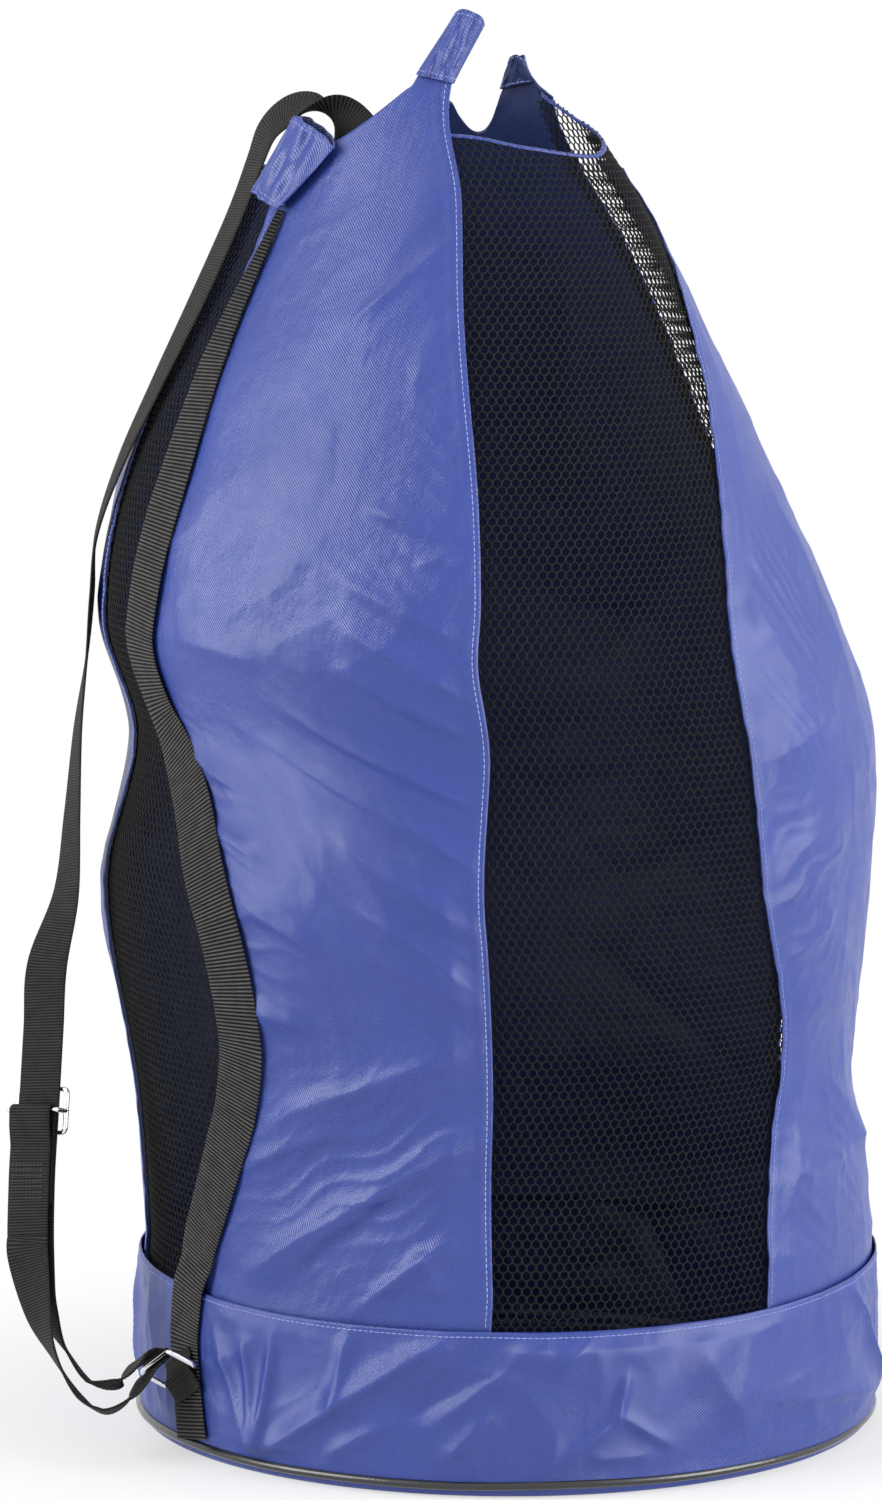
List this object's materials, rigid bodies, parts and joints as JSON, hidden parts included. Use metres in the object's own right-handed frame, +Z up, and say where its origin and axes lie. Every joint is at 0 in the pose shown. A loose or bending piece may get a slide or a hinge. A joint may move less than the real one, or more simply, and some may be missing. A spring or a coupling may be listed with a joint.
{
  "type": "mesh ball bag",
  "caption": "Round nylon and mesh sack with a piped base, a drawn mouth with cord sleeves and an adjustable webbing strap on a wire ring, in its filled shape.",
  "frame": {"origin": "middle of the base on the floor", "axes": "+Z up through the mouth, -Y towards the front, where the nylon and mesh front panels meet, +X to the right seen from the front"},
  "size_m": [0.4872, 0.4308, 0.787],
  "materials": {
    "nylon": "satin coated nylon, royal blue",
    "net": "black warp-knitted net",
    "webbing": "black ribbed webbing",
    "piping": "black piping with a soft shine",
    "steel": "bright plated wire"
  },
  "bodies": {
    "bag": {"base_panel": "nylon", "base_piping": "piping", "base_band": "nylon", "front_panel": "nylon", "right_panel": "nylon", "back_panel": "nylon", "left_panel": "nylon", "front_mesh": "net", "right_mesh": "net", "back_mesh": "net", "left_mesh": "net", "front_sleeve": "nylon", "side_sleeve": "nylon", "back_sleeve": "nylon", "side_webbing": "webbing", "ring_tab": "webbing", "strap_upper": "webbing", "strap_lower": "webbing", "strap_return": "webbing", "strap_tail": "webbing"},
    "ring": {"lower_ring": "steel"},
    "slide": {"slide_buckle": "steel"}
  },
  "joints": [
    {"name": "ring_pivot", "type": "hinge", "parent": "bag", "child": "ring", "pos_m": [-0.17921, -0.11459, 0.044], "axis": [0.4647, -0.7308, 0.5], "range_deg": [-40, 70], "deforming": ["strap_lower", "strap_return"]},
    {"name": "slide_adjust", "type": "slide", "parent": "bag", "child": "slide", "axis": [0.046, 0.2531, 0.9663], "range_m": [-0.03, 0.045], "deforming": ["strap_tail"]}
  ]
}
